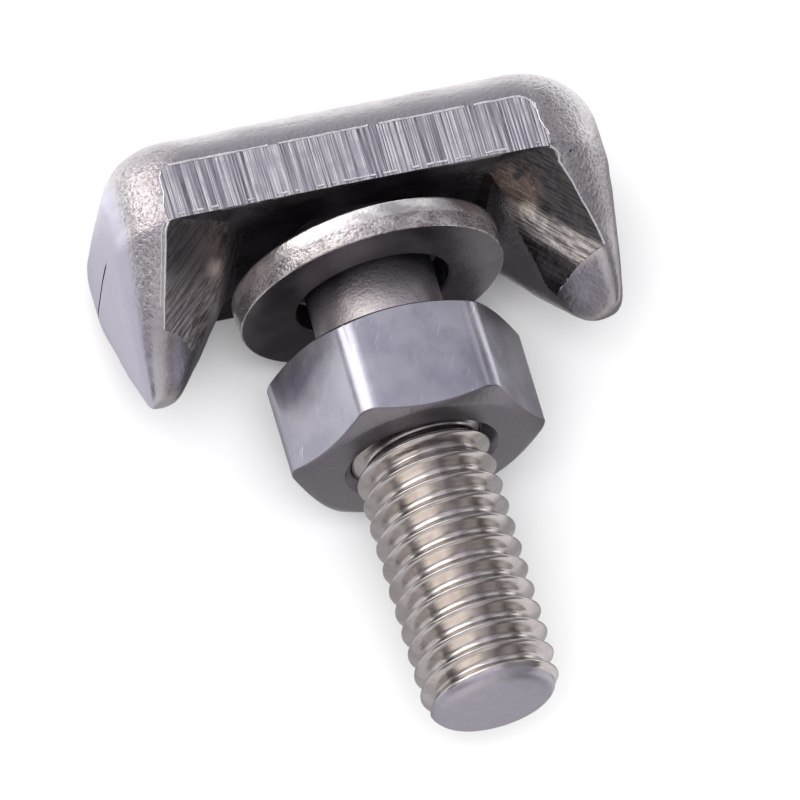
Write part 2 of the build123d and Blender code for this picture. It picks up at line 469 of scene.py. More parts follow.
def nut_face_steel():
    """The nut's faced and bevelled ends: turned, a little darker than its flats."""
    material, add, shader, place_of = new_material("stainless steel, turned nut face")
    fine = grain(add, place_of, (0.2, 0.2, 0.2), detail=3.0)
    body = add("Mix", fine, "#7d797f", "#918c93", **COLOURS)
    return as_steel(material, shader, body, 0.33, add("Bump", 1.0, 0.015 * MM, None, fine))


# ---------------------------------------------------------------- settings


def in_mm(name, description, size_mm):
    """A length to set, in metres, from its default in millimetres."""
    return bpy.props.FloatProperty(
        name=name, description=description, default=size_mm * MM, unit="LENGTH", precision=5
    )


def in_degrees(name, description, degrees):
    """An angle to set, in radians, from its default in degrees."""
    return bpy.props.FloatProperty(
        name=name, description=description, default=math.radians(degrees), unit="ROTATION"
    )


def in_colour(name, description, hex_value):
    """A colour to set, from its default as sRGB hex."""
    return bpy.props.FloatVectorProperty(
        name=name, description=description, default=colour(hex_value), size=4, min=0.0, max=1.0, subtype="COLOR"
    )


class BoltSettings(bpy.types.PropertyGroup):
    """Sizes of the cast head."""

    front_round: in_mm("Front corner round", "Round of the head's front upright corners", 2.8)
    front_right_round: in_mm("Right front corner round", "Round of the right end's front corner", 3.62)
    back_round: in_mm("Back corner round", "Round of the head's back upright corners", 2.8)
    top_round: in_mm("Top round", "Round of the head's top edge", 2.75)
    top_front_round: in_mm("Front top round", "Round of the head's top edge along the front", 2.42)
    front_reach: in_mm("Front reach", "From the stud's axis to the front as cast, before grinding", 5.53)
    ground_reach: in_mm("Ground reach", "From the stud's axis to the ground front face", 5.45)
    head_width: in_mm("Head width", "Width of the head as cast", 11.4)
    prong_drop: in_mm("Prong drop", "From the head's underside to the prong's ridge", 6.12)
    prong_point: in_mm("Prong point", "From the underside to where the prong's sides would meet", 6.52)
    prong_root: in_mm("Prong root", "From the stud's axis to the prong's inner face at the underside", 5.3)
    tip_lean: in_degrees("Tip lean", "Lean of the faces over the prongs' tips", 34)
    relief_ledge: in_mm("Relief ledge", "Step where the wheel was lifted", 0.14)
    relief_root: in_mm("Relief root", "Length of the round at the root of a slope", 0.35)
    skin_step: in_mm("Skin step", "Distance between the points of the head's skin", 0.13)


class StudSettings(bpy.types.PropertyGroup):
    """Sizes of the neck and the thread."""

    neck_diameter: in_mm("Neck diameter", "Diameter of the plain neck", 5.64)
    neck_length: in_mm("Neck length", "From the head's underside to the thread", 5.2)
    major: in_mm("Thread diameter", "Diameter over the thread's crests", 5.92)
    minor: in_mm("Root diameter", "Diameter at the thread's roots", 4.84)
    pitch: in_mm("Pitch", "Distance from one crest to the next", 1.0)
    phase: bpy.props.FloatProperty(
        name="Phase", description="Turns by which the thread is advanced", default=0.18
    )


class FinishSettings(bpy.types.PropertyGroup):
    """Sizes of the washer and of the nut's edges."""

    washer_thickness: in_mm("Washer thickness", "Thickness of the sheet", 1.42)
    washer_hole: in_mm("Washer hole", "Diameter of the hole", 6.7)
    washer_tilt: in_degrees("Washer tilt", "How far the loose washer leans", 2.2)
    washer_seat: in_mm("Washer seat", "From the head's underside to the washer", 1.3)
    nut_face: in_mm("Nut face", "Diameter of the nut's flat end face", 9.5)
    nut_edge: in_mm("Nut edge", "Width of the rounded edge between two flats", 1.0)


class ColourSettings(bpy.types.PropertyGroup):
    """The two tones between which each steel's skin wanders."""

    cast_dull: in_colour("Cast steel, dull", "Darker tone of the head's cast skin", "#b6b0b4")
    cast_bright: in_colour("Cast steel, bright", "Lighter tone of the head's cast skin", "#cac5c8")
    neck_dull: in_colour("Neck, dull", "Darker tone of the plain neck", "#c6bfc2")
    neck_bright: in_colour("Neck, bright", "Lighter tone of the plain neck", "#e0dadb")
    thread_dull: in_colour("Thread, dull", "Darker tone of the rolled thread", "#bbb5b1")
    thread_bright: in_colour("Thread, bright", "Lighter tone of the rolled thread", "#cbc6c3")
    washer_dull: in_colour("Washer, dull", "Darker tone of the washer's faces", "#7c777c")
    washer_bright: in_colour("Washer, bright", "Lighter tone of the washer's faces", "#979197")
    nut_dull: in_colour("Nut, dull", "Darker tone of the nut's flats", "#aeadb9")
    nut_bright: in_colour("Nut, bright", "Lighter tone of the nut's flats", "#bcbbc4")


# ---------------------------------------------------------------- head


CORNER_STEPS = 8
FAR = 14 * MM  # past every side of the head, for cutters that run out of it


def plan_ring(sides, rounds, depth_at):
    """One ring round a rectangle, with the rounds of its corners from right front to right back."""
    left, right, back, front = sides
    ring = []
    # each corner, and the way from it into the rectangle
    corners = ((right, front, -1, -1), (left, front, 1, -1), (left, back, 1, 1), (right, back, -1, 1))
    for quarter, (x, y, to_x, to_y) in enumerate(corners):
        corner_round = rounds[quarter]
        for step in range(CORNER_STEPS + 1):
            angle = math.radians(90 * (quarter + step / CORNER_STEPS))
            px = x + to_x * corner_round + corner_round * math.cos(angle)
            py = y + to_y * corner_round + corner_round * math.sin(angle)
            ring.append(place(px, py, depth_at(px, py)))
    return ring


def fall_in(depth, height, corner_round):
    """How far the bar's side has come in at a depth, on the round of its top edge."""
    above = -height + corner_round - depth
    if above <= 0:
        return 0.0
    return corner_round - math.sqrt(max(corner_round**2 - above**2, 0.0))


def head_bar(sizes):
    """The bar of the T, skinned from the underside up over its rounded top edge."""
    height = HEAD_TOP.y - UNDERSIDE.y
    half_length = box_size("t_bolt").x / 2
    half_width = sizes.head_width / 2
    depths = [0.0] + [-height + sizes.top_front_round * (1 - sine) for sine, _ in quarter(16)]
    rings = []
    for depth in depths:
        front_in = fall_in(depth, height, sizes.top_front_round)
        other_in = fall_in(depth, height, sizes.top_round)
        left, right = -half_length + other_in, half_length - other_in
        back, front = -half_width + other_in, sizes.front_reach - front_in
        corners = (
            (sizes.front_right_round, front_in), (sizes.front_round, front_in),
            (sizes.back_round, other_in), (sizes.back_round, other_in),
        )
        rounds = [max(full - come_in, 0.1 * MM) for full, come_in in corners]
        rings.append(plan_ring((left, right, back, front), rounds, lambda x, y, depth=depth: depth))
    return skin("head_bar", rings)


def prong(sizes, name, inner_slope, end_lean, inner_nose, outer_nose, front_round):
    """A prong at +X: it narrows to a ridge, rounded over a share of its length, the nose, at each end."""
    half_length = box_size("t_bolt").x / 2
    half_width = sizes.head_width / 2
    thickness = half_length - sizes.prong_root
    slope, lean = math.radians(inner_slope), math.radians(end_lean)
    ridge_from = sizes.prong_root + sizes.prong_drop * math.tan(slope)
    ridge_to = half_length - sizes.prong_drop * math.tan(lean)
    ridge = ridge_to - ridge_from
    inner_round = inner_nose * ridge / math.tan((math.pi / 2 - slope) / 2)
    outer_round = outer_nose * ridge / math.tan((math.pi / 2 + lean) / 2)
    inner_centre = ridge_from + inner_nose * ridge
    outer_centre = ridge_to - outer_round / math.tan((math.pi / 2 + lean) / 2)
    ridge_round = 0.8 * MM
    side = math.hypot(sizes.prong_point, half_width)
    ridge_centre = sizes.prong_point - ridge_round * side / half_width

    def nose(x, y, depth):
        deepest = depth
        if inner_centre - inner_round * math.cos(slope) < x < inner_centre:
            arc = sizes.prong_drop - inner_round + math.sqrt(inner_round**2 - (x - inner_centre) ** 2)
            deepest = min(deepest, arc)
        if outer_centre < x < outer_centre + outer_round * math.cos(lean):
            arc = sizes.prong_drop - outer_round + math.sqrt(outer_round**2 - (x - outer_centre) ** 2)
            deepest = min(deepest, arc)
        if abs(y) < ridge_round * sizes.prong_point / side:
            deepest = min(deepest, ridge_centre + math.sqrt(ridge_round**2 - y**2))
        return deepest

    rings = []
    steps = 36
    into_bar = -1.2 * MM
    # the corners' rounds leave a sliver of flat between them
    inner_front, inner_back = 0.97 * (thickness - front_round), 0.97 * (thickness - sizes.back_round)
    root_rounds = (front_round, inner_front, inner_back, sizes.back_round)
    for step in range(-1, steps + 2):
        depth = into_bar if step < 0 else sizes.prong_drop * min(step, steps) / steps
        drop = max(depth, 0.0)
        share = 1 - drop / sizes.prong_point
        width = half_width * share if step <= steps else 0.0
        front = width * sizes.front_reach / half_width
        inner, outer = sizes.prong_root + drop * math.tan(slope), half_length - drop * math.tan(lean)
        rounds = [share * corner_round for corner_round in root_rounds]
        ring = plan_ring((inner, outer, -width, front), rounds, lambda x, y, depth=depth: nose(x, y, depth))
        if step > steps:
            ring = [Vector((p.x, UNDERSIDE.y - nose(p.x, 0.0, depth), UNDERSIDE.z)) for p in ring]
        rings.append(ring)
    return skin(name, rings)


# The planes that a wheel left inside each prong. turn is how far a plane's level lines turn from the head's
# length, and lean how far it leans off the stud's axis, in degrees. reach is its distance from that axis at
# the underside, and stop its lowest depth, which rises towards the front. The outer plane follows the front
# edge, the inner one the prong's inner face, and the lift is the line where the wheel left the tip.
RIGHT_STOP = {"stop": 4.19 * MM, "rise": 0.26}
LEFT_STOP = {"stop": 4.59 * MM, "rise": 0.41}
OUTER_RELIEFS = {
    "right": {"turn": 26.9, "reach": -1.29 * MM, "lean": 45.97, **RIGHT_STOP},
    "left": {"turn": 29.6, "reach": -0.366 * MM, "lean": 39.8, **LEFT_STOP},
}
INNER_RELIEFS = {
    "right": {"turn": 50.7, "reach": 1.36 * MM, "lean": 48.9, **RIGHT_STOP},
    "left": {"turn": 49.1, "reach": 1.991 * MM, "lean": 41.8, **LEFT_STOP},
}
LIFTS = {
    "right": {"turn": 38.4, "reach": 0.62 * MM, "lean": 45.6, **RIGHT_STOP},
    "left": {"turn": 38.4, "reach": 1.23 * MM, "lean": 38.3, **LEFT_STOP},
}


def relief_crease(cut, end):
    """Where a slope stops at a distance along it: its reach and depth there, and its tangent."""
    slope, turn = math.tan(math.radians(cut["lean"])), math.radians(cut["turn"])
    stop = cut["stop"] + math.cos(turn) * cut["rise"] * cut["reach"] - math.sin(turn) * cut["rise"] * end
    stop /= 1 - math.cos(turn) * cut["rise"] * slope
    return cut["reach"] + slope * stop, stop, slope


def recalculate_normals(piece, cut_at=None):
    """Turns a piece's faces outwards, after cutting off what lies towards -X of a place, if one is given."""
    select_only(piece)
    bpy.ops.object.mode_set(mode="EDIT")
    bpy.ops.mesh.select_all(action="SELECT")
    if cut_at is not None:
        bpy.ops.mesh.bisect(
            plane_co=cut_at, plane_no=(1, 0, 0), use_fill=True, clear_inner=True, threshold=1e-7
        )
        bpy.ops.mesh.select_all(action="SELECT")
    bpy.ops.mesh.normals_make_consistent(inside=False)
    bpy.ops.object.mode_set(mode="OBJECT")


def mirror_left(piece):
    """Turns a piece made at +X into its mirror image at -X."""
    select_only(piece)
    piece.scale.x = -1
    bpy.ops.object.transform_apply(location=False, rotation=False, scale=True)
    recalculate_normals(piece)


def relief_prism(name, turn, side, profile_at):
    """A block of air along a slope inside the prong at +X, from its section at each end."""
    across = Vector((math.sin(turn), -math.cos(turn), 0))
    along = Vector((math.cos(turn), math.sin(turn), 0))
    down = Vector((0, 0, 1))
    rings = []
    for end in (-8 * MM, FAR):
        rings.append([place(*(across * s + down * d + along * end)) for s, d in profile_at(end)])
    cutter = skin(name, rings)
    recalculate_normals(cutter, cut_at=place(3 * MM, 0, 0))
    if side == "left":
        mirror_left(cutter)
    return cutter


def slope_cutter(sizes, cut, side):
    """What the wheel takes off inside a prong, from the root down to where it was lifted."""

    def profile_at(end):
        crease, stop, slope = relief_crease(cut, end)
        reach, root = cut["reach"], sizes.relief_root
        lean = math.atan(slope)
        curve = [(reach - root, 0.0), (reach, 0.0), (reach + root * math.sin(lean), root * math.cos(lean))]
        points = [(-FAR, 0.0)]
        for step in range(7):
            share = step / 6
            weights = ((1 - share) ** 2, 2 * share * (1 - share), share**2)
            points.append(tuple(sum(w * p[i] for w, p in zip(weights, curve)) for i in (0, 1)))
        return points + [(crease, stop), (-FAR, stop)]

    return relief_prism(side + "_slope", math.radians(cut["turn"]), side, profile_at)


def tip_cutter(sizes, side):
    """What the die leaves off the front of a prong's tip, below the slope's crease."""
    start, drop = 0.1 * MM, 5 * MM

    def profile_at(end):
        crease, stop, _ = relief_crease(LIFTS[side], end)
        lean = math.tan(sizes.tip_lean)
        face = crease - sizes.relief_ledge
        upper = [(-FAR, stop - start), (face - lean * start, stop - start)]
        return upper + [(face + lean * drop, stop + drop), (-FAR, stop + drop)]

    return relief_prism(side + "_tip", math.radians(LIFTS[side]["turn"]), side, profile_at)


def slope_side(side, sign):
    """A test for the faces of the ground slopes inside the prong on one side."""
    sizes = bpy.context.scene.bolt_sizes
    planes = []
    for cut, off_plane, facing, front in (
        (OUTER_RELIEFS[side], 0.02 * MM, 0.985, FAR),
        (INNER_RELIEFS[side], 0.3 * MM, 0.9, 4.6 * MM),
    ):
        turn, lean = math.radians(cut["turn"]), math.radians(cut["lean"])
        way = (-math.sin(turn) * math.cos(lean) * sign, -math.sin(lean), math.cos(turn) * math.cos(lean))
        start = place(sign * math.sin(turn) * cut["reach"], -math.cos(turn) * cut["reach"], 0)
        planes.append((start, Vector(way), off_plane, facing, front))

    def test(centre, normal):
        depth, ahead = UNDERSIDE.y - centre.y, centre.z - UNDERSIDE.z
        lifted = LIFTS[side]["stop"] - LIFTS[side]["rise"] * ahead
        if centre.x * sign < 3 * MM or depth < 0 or depth > lifted:
            return False
        for start, way, off_plane, facing, front in planes:
            off = (centre - start).dot(way)
            near_root = depth < sizes.relief_root and normal.dot(way) > 0.75 and off < 0.3 * MM
            if near_root and ahead < 5.0 * MM:
                return True
            if normal.dot(way) > facing and abs(off) < off_plane and ahead < front:
                return True
        return False

    return test


def waves(piece, sizes_mm, depths_mm):
    """Moves a skin in and out a little along its normals, as a casting's surface is never quite true."""
    normals = [vertex.normal.copy() for vertex in piece.data.vertices]
    for vertex, normal in zip(piece.data.vertices, normals):
        shift = 0.0
        for size, depth in zip(sizes_mm, depths_mm):
            shift += depth * MM * noise.noise(vertex.co / (size * MM))
        calm = 0.15 if normal.z > 0.8 else 1.0  # the front is truer than the rest
        vertex.co += normal * (shift * calm - sum(depths_mm) * MM * 0.3)


def eased(value, low, high):
    """Runs from 0 to 1 between two values."""
    share = min(max((value - low) / (high - low), 0.0), 1.0)
    return share * share * (3 - 2 * share)


def sharpen_front_foot(piece):
    """Draws the rounded lower front edge forward, so that grinding leaves it crisp."""
    for vertex in piece.data.vertices:
        # in millimetres along the head, down from the underside and ahead of the stud's axis
        x, depth = vertex.co.x / MM, (UNDERSIDE.y - vertex.co.y) / MM
        ahead = (vertex.co.z - UNDERSIDE.z) / MM
        along = eased(x, -8.95, -8.4) * eased(x, 8.15, 7.6)
        down = eased(depth, -1.1, -0.5) * eased(depth, 0.8, 0.25)
        vertex.co.z += 0.3 * MM * along * down * eased(ahead, 4.6, 5.1)


def kept_inside(piece, node):
    """Presses a skin's waves back to its CAD node's box."""
    low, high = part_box(node)
    for vertex in piece.data.vertices:
        for axis in range(3):
            vertex.co[axis] = min(max(vertex.co[axis], low[axis]), high[axis])


def soften_tips(piece):
    """Rounds the cast tips of the prongs further, as the tumbling drum does."""
    start, full = 3.4, 4.6  # depths in millimetres
    group = piece.vertex_groups.new(name="tips")
    for vertex in piece.data.vertices:
        depth = (UNDERSIDE.y - vertex.co.y) / MM
        if depth > start:
            group.add([vertex.index], min((depth - start) / (full - start), 1.0), "REPLACE")
    apply_modifier(piece, "SMOOTH", factor=0.5, iterations=90, vertex_group="tips")
    piece.vertex_groups.clear()


def burr_line(name, points, width_mm, seed, gaps, material):
    """A thin feathered burr along an edge: a tube whose thickness comes and goes."""
    chance = random.Random(seed)
    curve = bpy.data.curves.new(name, "CURVE")
    curve.dimensions = "3D"
    curve.bevel_depth = width_mm * MM
    curve.bevel_resolution = 1
    spline = None
    swell = 1.0
    for spot in points:
        swell = 0.5 * swell + 0.5 * chance.uniform(0.5, 1.3)
        if chance.random() < gaps:
            spline = None
            continue
        if spline is None:
            spline = curve.splines.new("POLY")
        else:
            spline.points.add(1)
        jitter = Vector([chance.uniform(-0.012, 0.012) * MM for _ in range(3)])
        spline.points[-1].co = (*(spot + jitter), 1.0)
        spline.points[-1].radius = swell
    piece = bpy.data.objects.new(name, curve)
    bpy.context.collection.objects.link(piece)
    select_only(piece)
    bpy.ops.object.convert(target="MESH")
    piece = bpy.context.object
    piece.data.materials.append(material)
    return piece


def finish_edges(piece, name_a, name_b, test):
    """The middles of the edges where two finishes meet and a test on the place and normal holds."""
    mesh = piece.data
    names = [material.name for material in mesh.materials]
    beside = {}
    for face in mesh.polygons:
        for key in face.edge_keys:
            beside.setdefault(key, []).append(face)
    found = []
    for key, faces in beside.items():
        if len(faces) != 2:
            continue
        first, second = faces
        if name_a not in names[first.material_index]:
            first, second = second, first
        if name_a not in names[first.material_index] or name_b not in names[second.material_index]:
            continue
        middle = (mesh.vertices[key[0]].co + mesh.vertices[key[1]].co) / 2
        if test(middle, second.normal):
            found.append(middle.copy())
    return found


def evened(points, measure, step_mm):
    """Points put in order by a measure and averaged over even steps of it."""
    bins = {}
    for point in points:
        bins.setdefault(round(measure(point) / (step_mm * MM)), []).append(point)
    return [sum(bins[key], Vector()) / len(bins[key]) for key in sorted(bins)]


def along_x(spot):
    """How far a place lies along the head."""
    return spot.x


def downwards(spot):
    """How far down the stud a place lies."""
    return -spot.y


def burrs(head):
    """The feathered edges that grinding raised round the front face and down the outside of both slopes."""
    level = UNDERSIDE.y
    belt, wheel, cast = "belt-ground", "heat-tinted ", "cast stainless"
    top = finish_edges(head, belt, cast, lambda spot, normal: spot.y > level + 1.4 * MM)
    reach = bpy.context.scene.bolt_sizes.ground_reach + 0.012 * MM
    low = [place((-8.3 + 0.16 * step) * MM, reach, -0.17 * MM) for step in range(100)]
    # each burr's name, points, width in millimetres, seed and share of gaps
    lines = [("top_burr", evened(top, along_x, 0.22), 0.06, 3, 0.02), ("low_burr", low, 0.055, 8, 0.32)]
    for sign, side in ((1, "right"), (-1, "left")):
        end = finish_edges(
            head, belt, cast,
            lambda spot, normal: spot.x * sign > 6 * MM and level + 0.3 * MM < spot.y < level + 2.3 * MM,
        )
        edge = finish_edges(
            head, wheel + side, cast,
            lambda spot, normal: normal.x * sign > -0.2 and normal.z > 0.1 and spot.y < level - 0.05 * MM,
        )
        crease = finish_edges(
            head, wheel + side, cast,
            lambda spot, normal: normal.x * sign < -0.2 and normal.z > 0.3 and spot.y < level - 2.8 * MM,
        )
        edge = evened(edge, downwards, 0.2)
        lines.append((side + "_end_burr", evened(end, downwards, 0.2), 0.04, 11 + sign, 0.0))
        lines.append((side + "_crease_burr", evened(crease, along_x, 0.16), 0.03, 41 + sign, 0.2))
        lines.append((side + "_slope_burr", edge, 0.06, 21 + sign, 0.0))
    # the wheel raised a second burr just outside the left one
    beside = [spot + Vector((-0.17 * MM, 0, -0.05 * MM)) for spot in edge[: len(edge) * 4 // 5]]
    lines.append(("left_second_burr", beside, 0.035, 31, 0.05))
    bright = burr_steel()
    # an edge that the wheel hardly left has too few points for a burr
    return [burr_line(*line, bright) for line in lines if len(line[1]) > 3]


SLIT_FROM = place(-10.95 * MM, 1.3 * MM, -0.55 * MM)
SLIT_RUN = place(-10.95 * MM, -4.2 * MM, -0.18 * MM) - SLIT_FROM
SLIT_ACROSS = SLIT_RUN.normalized().cross(Vector((1, 0, 0)))


def parting_slit():
    """The fine open seam of the casting's parting line, as a thin blade across the left end."""
    inwards = Vector((0.35 * MM, 0, 0))
    opening = 0.4 * MM / SLIT_RUN.length
    rings = []
    for share, half in ((0, 0.01 * MM), (opening, 0.055 * MM), (1, 0.05 * MM)):
        ring = []
        for a, b in ((-1, -1), (1, -1), (1, 1), (-1, 1)):
            ring.append(SLIT_FROM + SLIT_RUN * share + inwards * a + SLIT_ACROSS * b * half)
        rings.append(ring)
    return skin("parting_slit", rings)


def in_slit(centre, normal):
    """Picks the faces inside the seam on the left end."""
    near = abs((centre - SLIT_FROM).dot(SLIT_ACROSS)) < 0.06 * MM
    return near and -10.93 * MM < centre.x < -10 * MM and abs(normal.dot(SLIT_ACROSS)) > 0.6


def on_ground_face(centre, normal):
    """Picks the faces of the flat that the belt ground along the front."""
    ground = UNDERSIDE.z + bpy.context.scene.bolt_sizes.ground_reach
    return normal.z > 0.9995 and abs(centre.z - ground) < 0.002 * MM


def under_head(centre, normal):
    """Picks the faces of the recess between the prongs, and the strip of underside beside it."""
    above = centre.y - UNDERSIDE.y
    if normal.y > -0.6 or above > 0.2 * MM or centre.z > UNDERSIDE.z + 5.3 * MM:
        return False
    inside = bpy.context.scene.bolt_sizes.prong_root + 0.3 * MM
    return abs(centre.x) < inside or above > -0.3 * MM and abs(centre.x) < 9 * MM


class BOLT_OT_head(bpy.types.Operator):
    """Model the cast head with its prongs and ground faces"""

    bl_idname = "bolt.head"
    bl_label = "Cast head"

    def execute(self, context):
        sizes = context.scene.bolt_sizes
        bar = head_bar(sizes)
        right = prong(
            sizes, "right_prong", inner_slope=28.5, end_lean=5.5, inner_nose=0.13, outer_nose=0.83,
            front_round=sizes.front_right_round,
        )
        left = prong(
            sizes, "left_prong", inner_slope=34.0, end_lean=2.0, inner_nose=0.82, outer_nose=0.14,
            front_round=sizes.front_round,
        )
        mirror_left(left)
        head = join([bar, right, left], "cast_head")
        apply_modifier(head, "REMESH", mode="VOXEL", voxel_size=sizes.skin_step)
        for side in LIFTS:
            cut_with(head, slope_cutter(sizes, INNER_RELIEFS[side], side))
            cut_with(head, tip_cutter(sizes, side))
        apply_modifier(head, "REMESH", mode="VOXEL", voxel_size=sizes.skin_step)
        apply_modifier(head, "SMOOTH", factor=0.5, iterations=12)
        soften_tips(head)
        waves(head, (3.2, 0.9), (0.045, 0.02))
        sharpen_front_foot(head)
        kept_inside(head, "t_bolt")
        for side in LIFTS:
            cut_with(head, slope_cutter(sizes, OUTER_RELIEFS[side], side))
        cut_with(head, parting_slit())
        ground = UNDERSIDE.z + sizes.ground_reach
        belt_low, belt_high = Vector((-FAR, -4 * MM, ground)), Vector((FAR, 18 * MM, ground + 3 * MM))
        cut_with(head, block("belt", belt_low, belt_high))
        smooth(head, 38)
        head.data.materials.clear()
        paint(head, everywhere, cast_steel())
        paint(head, on_ground_face, ground_steel())
        # painted shade over the recess under the head, and inside the seam below
        paint(head, under_head, painted_shade_cast_steel())
        for side, sign in (("right", 1), ("left", -1)):
            paint(head, slope_side(side, sign), relief_steel(side, sign))
        paint(head, in_slit, painted_shade_cast_steel())
        crisp_between_finishes(head)
        for burr in burrs(head):
            finish_piece(burr, "bolt")
        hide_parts("t_bolt")
        finish_piece(head, "bolt")
        return {"FINISHED"}


# ---------------------------------------------------------------- stud


NECK_SIDES = 96
THREAD_SIDES = 144
# How the worn crest and the round root soften a sharp thread: the flank's share where each begins, and how
# crisply, then the lowest height that is left and the span from there to the crest.
CREST_FROM, CREST_CRISP = 0.87, 13
ROOT_FROM, ROOT_CRISP = 0.25, 20
ROOT_HEIGHT, HEIGHT_SPAN = 0.26, 0.59


def thread_height(turns):
    """The height of a 60 degree thread with a round root and a worn crest, 0 to 1, at a share of a turn."""
    flank = 1 - abs((turns % 1.0) - 0.5) * 2
    worn = -math.log(math.exp(-CREST_CRISP * flank) + math.exp(-CREST_CRISP * CREST_FROM)) / CREST_CRISP
    rooted = math.log(math.exp(ROOT_CRISP * worn) + math.exp(ROOT_CRISP * ROOT_FROM)) / ROOT_CRISP
    return (rooted - ROOT_HEIGHT) / HEIGHT_SPAN


def polar_ring(radius_at, depth, steps):
    """One ring round the stud's axis; radius_at gives the radius at an angle and a depth."""
    ring = []
    for step in range(steps):
        angle = 2 * math.pi * step / steps
        radius = radius_at(angle, depth)
        ring.append(place(radius * math.cos(angle), radius * math.sin(angle), depth))
    return ring


def round_ring(radius, depth, steps):
    """One round ring about the stud's axis."""
    return polar_ring(lambda angle, depth: radius, depth, steps)


def threaded_radius(stud, angle, depth, extra=0.0):
    """The radius of a right-hand thread at an angle and a depth."""
    turns = depth / stud.pitch - angle / (2 * math.pi) - stud.phase
    return stud.minor / 2 + (stud.major - stud.minor) / 2 * thread_height(turns) + extra


# The stud's domed end: distances before the end in millimetres, and shares of the radius there
DOME = (
    (0.42, 1.0), (0.3, 0.985), (0.2, 0.955), (0.12, 0.915),
    (0.065, 0.865), (0.03, 0.81), (0.01, 0.74), (0.0, 0.5),
)


def plain_neck(stud):
    """The plain neck, with a cove where it grows out of the head."""
    radius, cove = stud.neck_diameter / 2, 0.5 * MM
    rings = [round_ring(radius + cove, -0.5 * MM, NECK_SIDES)]
    for sine, cosine in quarter(6):
        rings.append(round_ring(radius + cove * (1 - sine), cove * (1 - cosine), NECK_SIDES))
    for step in range(1, 31):
        rings.append(round_ring(radius, cove + (stud.neck_length - cove) * step / 30, NECK_SIDES))
    neck = skin("neck", rings)
    waves(neck, (1.6, 0.5), (0.05, 0.012))
    smooth(neck, 40)
    paint(neck, everywhere, neck_steel())
    return neck


def threaded_stud(stud):
    """The thread, which grows out of the neck and fades into the domed end."""
    length = UNDERSIDE.y - STUD_END.y
    straight = length - DOME[0][0] * MM
    neck_radius = stud.neck_diameter / 2
    end_radius = stud.major / 2 - 0.2 * MM

    def radius_at(angle, depth):
        grown_in = min((depth - stud.neck_length) / (1.2 * stud.pitch), 1.0)
        crest = threaded_radius(stud, angle, depth)
        fading = min(max((straight - depth) / (0.5 * stud.pitch), 0.0), 1.0)
        crest = crest * fading + min(end_radius, max(crest, end_radius - 0.1 * MM)) * (1 - fading)
        return neck_radius + (crest - neck_radius) * grown_in

    levels = int((straight - stud.neck_length) / stud.pitch * 26)
    rings = []
    for level in range(levels + 1):
        depth = stud.neck_length + (straight - stud.neck_length) * level / levels
        rings.append(polar_ring(radius_at, depth, THREAD_SIDES))
    for before_end, share in DOME[1:]:
        at_dome = lambda angle, depth, share=share: radius_at(angle, straight) * share
        rings.append(polar_ring(at_dome, length - before_end * MM, THREAD_SIDES))
    thread = skin("thread", rings)
    smooth(thread, 50)
    paint(thread, everywhere, thread_steel())
    paint(thread, lambda centre, normal: normal.y < -0.3 and centre.y < STUD_END.y + 0.41 * MM, end_steel())
    return thread


class BOLT_OT_stud(bpy.types.Operator):
    """Model the neck and the threaded stud"""

    bl_idname = "bolt.stud"
    bl_label = "Neck and thread"

    def execute(self, context):
        stud = context.scene.stud_sizes
        for piece in (plain_neck(stud), threaded_stud(stud)):
            finish_piece(piece, "bolt")
        return {"FINISHED"}


# ---------------------------------------------------------------- washer and nut


class BOLT_OT_washer(bpy.types.Operator):
    """Model the loose flat washer"""

    bl_idname = "bolt.washer"
    bl_label = "Flat washer"

    def execute(self, context):
        sizes = context.scene.finish_sizes
        outer = box_size("flat_washer").z / 2
        hole = sizes.washer_hole / 2
        thick = sizes.washer_thickness
        die, lip, torn = 0.16 * MM, 0.07 * MM, 0.03 * MM  # the die's round, the torn lip and the tear's step
        burnished = 0.46  # the share of the edge that the die burnished
        split = thick * burnished
        profile = [(outer - 1.0 * MM, 0.0)]
        profile += [(outer - die + die * sine, die - die * cosine) for sine, cosine in quarter(6)]
        profile += [(outer, split - 0.04 * MM), (outer - torn, split + 0.02 * MM)]
        profile += [(outer - torn, thick - lip)]
        edge = outer - torn - lip
        profile += [(edge + lip * cosine, thick - lip + lip * sine) for sine, cosine in quarter(4)[1:]]
        profile += [(outer - 1.0 * MM, thick), (hole + 1.0 * MM, thick)]
        profile += [(hole + die - die * sine, thick - die + die * cosine) for sine, cosine in quarter(6)]
        profile += [(hole, 0.1 * MM), (hole + 0.1 * MM, 0.0), (hole + 1.0 * MM, 0.0)]
        rings = [round_ring(radius, depth, 160) for radius, depth in profile]
        washer = skin("washer", rings, closed_ends=False)
        to_axis = Matrix.Translation(-place(0, 0, thick / 2))
        lean = Matrix.Rotation(sizes.washer_tilt, 4, "Z")
        seat = Matrix.Translation(place(0, 0, sizes.washer_seat + thick / 2))
        to_place = seat @ lean @ to_axis
        to_flat = to_place.inverted()
        washer.data.transform(to_place)
        smooth(washer, 45)

        def rim_share(centre):
            flat = to_flat @ centre
            off_axis = math.hypot(flat.x, flat.z - UNDERSIDE.z)
            return (UNDERSIDE.y - flat.y) / thick if off_axis > outer - 0.13 * MM else -1

        paint(washer, everywhere, washer_steel())
        paint(washer, lambda centre, normal: 0 <= rim_share(centre) < burnished, burnished_rim_steel())
        paint(washer, lambda centre, normal: rim_share(centre) >= burnished, torn_rim_steel())
        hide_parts("flat_washer")
        finish_piece(washer, "washer")
        return {"FINISHED"}


